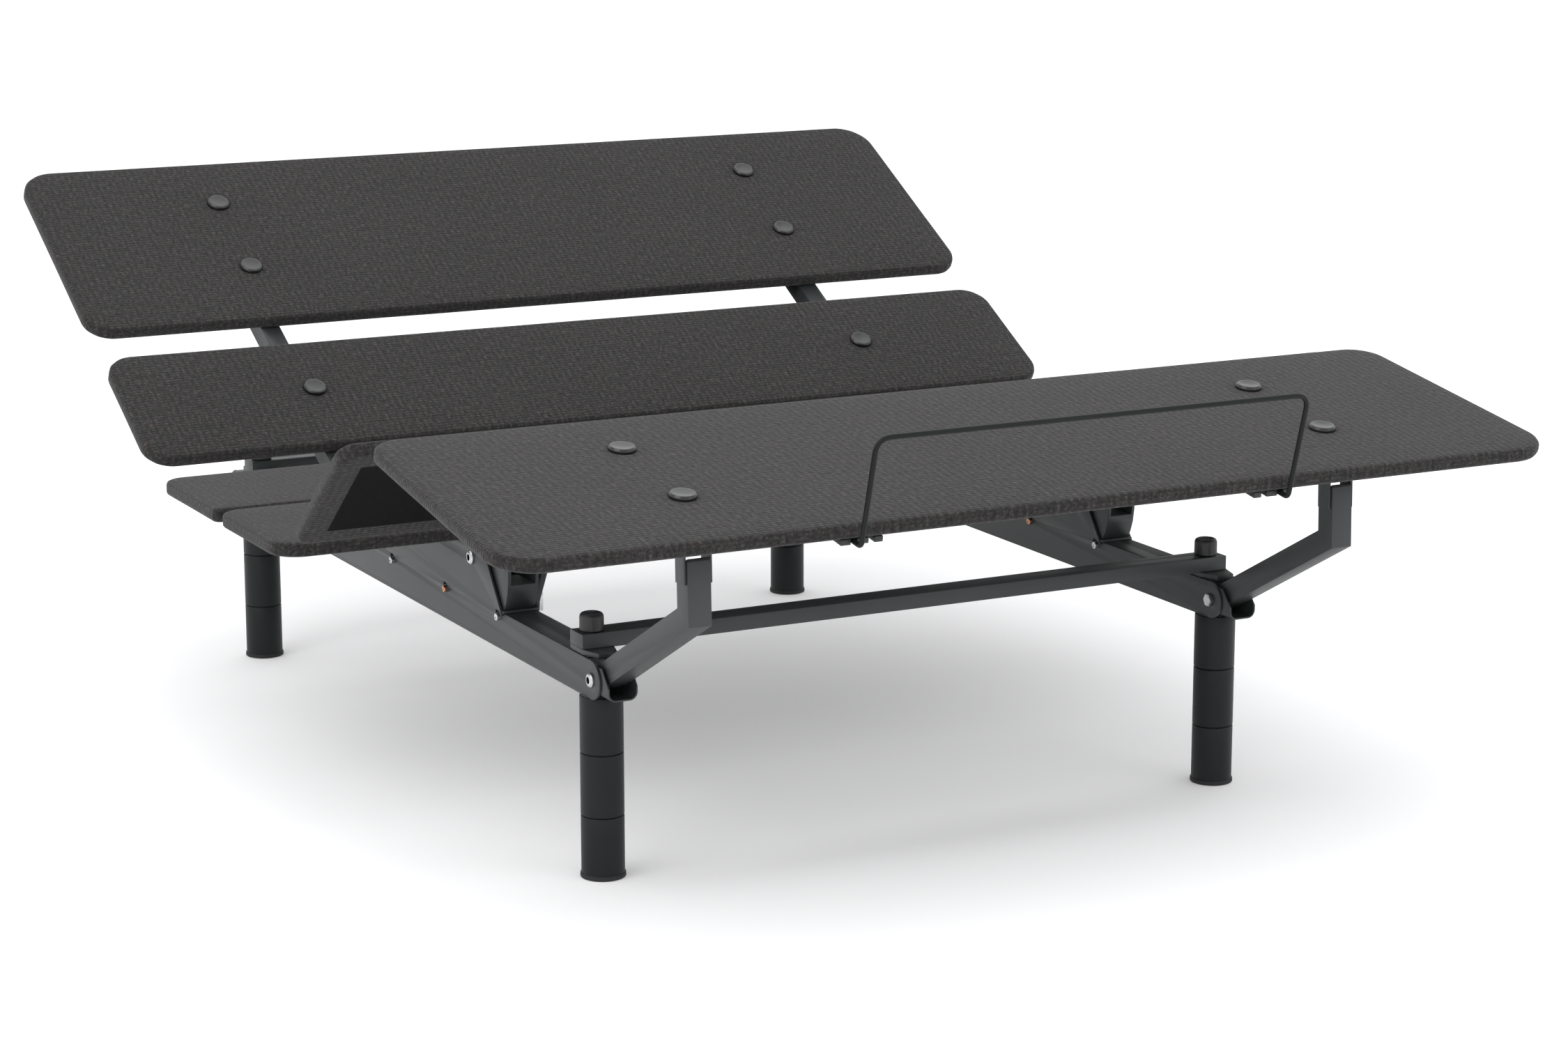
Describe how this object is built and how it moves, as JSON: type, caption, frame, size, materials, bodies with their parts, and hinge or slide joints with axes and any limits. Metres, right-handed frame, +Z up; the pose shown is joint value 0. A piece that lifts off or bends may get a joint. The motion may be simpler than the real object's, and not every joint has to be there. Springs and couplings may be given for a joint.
{
  "type": "adjustable bed base",
  "caption": "Adjustable bed base on sectional legs, with fabric-covered boards that raise the head, bend the knees and slope the foot end.",
  "frame": {"origin": "on the floor, under the middle of the bed as posed", "axes": "+X to the sleeper's left, +Y towards the head end, +Z up"},
  "size_m": [1.3716, 1.8018, 0.6815],
  "materials": {
    "board_fabric": "matte",
    "frame_steel": "satin",
    "leg_black": "satin",
    "zinc_bolt": "satin",
    "cap_black": "gloss",
    "black_plastic": "matte",
    "retainer_steel": "satin"
  },
  "bodies": {
    "base": {"foot_crossbar": "frame_steel", "head_crossbar": "frame_steel", "leg_front_left_bottom": "leg_black", "leg_front_left_middle": "leg_black", "leg_front_left_top": "leg_black", "leg_rear_left_bottom": "leg_black", "leg_rear_left_middle": "leg_black", "leg_rear_left_top": "leg_black", "leg_bracket_front_left": "frame_steel", "leg_bracket_rear_left": "frame_steel", "side_rail_left": "frame_steel", "arm_pivot_bolt_left": "zinc_bolt", "thigh_pivot_bolt_left": "zinc_bolt", "head_pivot_bolt_left": "zinc_bolt", "leg_front_right_bottom": "leg_black", "leg_front_right_middle": "leg_black", "leg_front_right_top": "leg_black", "leg_rear_right_bottom": "leg_black", "leg_rear_right_middle": "leg_black", "leg_rear_right_top": "leg_black", "leg_bracket_front_right": "frame_steel", "leg_bracket_rear_right": "frame_steel", "side_rail_right": "frame_steel", "arm_pivot_bolt_right": "zinc_bolt", "thigh_pivot_bolt_right": "zinc_bolt", "head_pivot_bolt_right": "zinc_bolt", "seat_panel_rear": "board_fabric", "seat_panel_front": "board_fabric", "seat_frame": "frame_steel", "control_box": "black_plastic"},
    "head_section": {"head_panel_lower": "board_fabric", "head_panel_upper": "board_fabric", "head_frame": "frame_steel", "head_cap_bolt_left_1": "cap_black", "head_cap_bolt_left_2": "cap_black", "head_cap_bolt_left_3": "cap_black", "head_cap_bolt_right_1": "cap_black", "head_cap_bolt_right_2": "cap_black", "head_cap_bolt_right_3": "cap_black"},
    "thigh_section": {"thigh_panel": "board_fabric", "thigh_frame": "frame_steel"},
    "foot_section": {"foot_panel": "board_fabric", "foot_frame": "frame_steel", "foot_cap_bolt_left_1": "cap_black", "foot_cap_bolt_left_2": "cap_black", "foot_cap_bolt_right_1": "cap_black", "foot_cap_bolt_right_2": "cap_black", "retainer_clip_left": "black_plastic", "retainer_clip_right": "black_plastic"},
    "foot_arms": {"foot_arm_left": "frame_steel", "foot_arm_right": "frame_steel"},
    "head_motor_body": {"head_motor": "black_plastic"},
    "head_motor_rod_body": {"head_motor_rod": "zinc_bolt"},
    "foot_motor_body": {"foot_motor": "black_plastic"},
    "foot_motor_rod_body": {"foot_motor_rod": "zinc_bolt"},
    "retainer": {"retainer_bar": "retainer_steel"},
    "knob_front_left": {"crossbar_knob_front_left": "leg_black"},
    "knob_front_right": {"crossbar_knob_front_right": "leg_black"},
    "knob_rear_left": {"crossbar_knob_rear_left": "leg_black"},
    "knob_rear_right": {"crossbar_knob_rear_right": "leg_black"}
  },
  "joints": [
    {"name": "head_lift", "type": "hinge", "parent": "base", "child": "head_section", "pos_m": [0, 0.29512, 0.3176], "axis": [1, 0, 0], "range_deg": [-27.3, 31.3]},
    {"name": "head_motor_tilt", "type": "hinge", "parent": "base", "child": "head_motor_body", "pos_m": [0.06, -0.06478, 0.279], "axis": [1, 0, 0], "range_deg": [-5.47, 6.27]},
    {"name": "head_rod_slide", "type": "slide", "parent": "head_motor_body", "child": "head_motor_rod_body", "axis": [0, 0.9915, -0.13], "range_m": [-0.0392, 0.0449]},
    {"name": "thigh_lift", "type": "hinge", "parent": "base", "child": "thigh_section", "pos_m": [0, -0.20228, 0.3176], "axis": [-1, 0, 0], "range_deg": [-38, 5.4]},
    {"name": "knee_fold", "type": "hinge", "parent": "thigh_section", "child": "foot_section", "pos_m": [0, -0.42612, 0.50277], "axis": [1, 0, 0], "range_deg": [-46.66, 6.65]},
    {"name": "foot_arm_swing", "type": "hinge", "parent": "base", "child": "foot_arms", "pos_m": [0, -0.54428, 0.2425], "axis": [-1, 0, 0], "range_deg": [-28.25, 4.03]},
    {"name": "foot_motor_tilt", "type": "hinge", "parent": "base", "child": "foot_motor_body", "pos_m": [-0.378, 0.20522, 0.276], "axis": [-1, 0, 0], "range_deg": [-0.722, 0.12]},
    {"name": "foot_rod_slide", "type": "slide", "parent": "foot_motor_body", "child": "foot_motor_rod_body", "axis": [0, -0.9993, -0.0369], "range_m": [-0.0402, 0.0061]},
    {"name": "retainer_pull", "type": "slide", "parent": "foot_section", "child": "retainer", "axis": [0, -0.9877, -0.1564], "range_m": [0, 0.06]},
    {"name": "knob_turn_front_left", "type": "hinge", "parent": "base", "child": "knob_front_left", "pos_m": [-0.424, -0.50018, 0.3], "axis": [0, 0, 1], "continuous": true},
    {"name": "knob_turn_front_right", "type": "hinge", "parent": "base", "child": "knob_front_right", "pos_m": [0.424, -0.50018, 0.3], "axis": [0, 0, 1], "continuous": true},
    {"name": "knob_turn_rear_left", "type": "hinge", "parent": "base", "child": "knob_rear_left", "pos_m": [-0.424, 0.62722, 0.3], "axis": [0, 0, 1], "continuous": true},
    {"name": "knob_turn_rear_right", "type": "hinge", "parent": "base", "child": "knob_rear_right", "pos_m": [0.424, 0.62722, 0.3], "axis": [0, 0, 1], "continuous": true}
  ],
  "couplings": [
    {"joint": "head_motor_tilt", "follows": "head_lift", "ratio": 0.19978},
    {"joint": "head_rod_slide", "follows": "head_lift", "m_per_rad": 0.081303},
    {"joint": "knee_fold", "follows": "thigh_lift", "ratio": 1.2273},
    {"joint": "foot_arm_swing", "follows": "thigh_lift", "ratio": 0.74304},
    {"joint": "foot_motor_tilt", "follows": "thigh_lift", "ratio": 0.01847},
    {"joint": "foot_rod_slide", "follows": "thigh_lift", "m_per_rad": 0.05981}
  ]
}
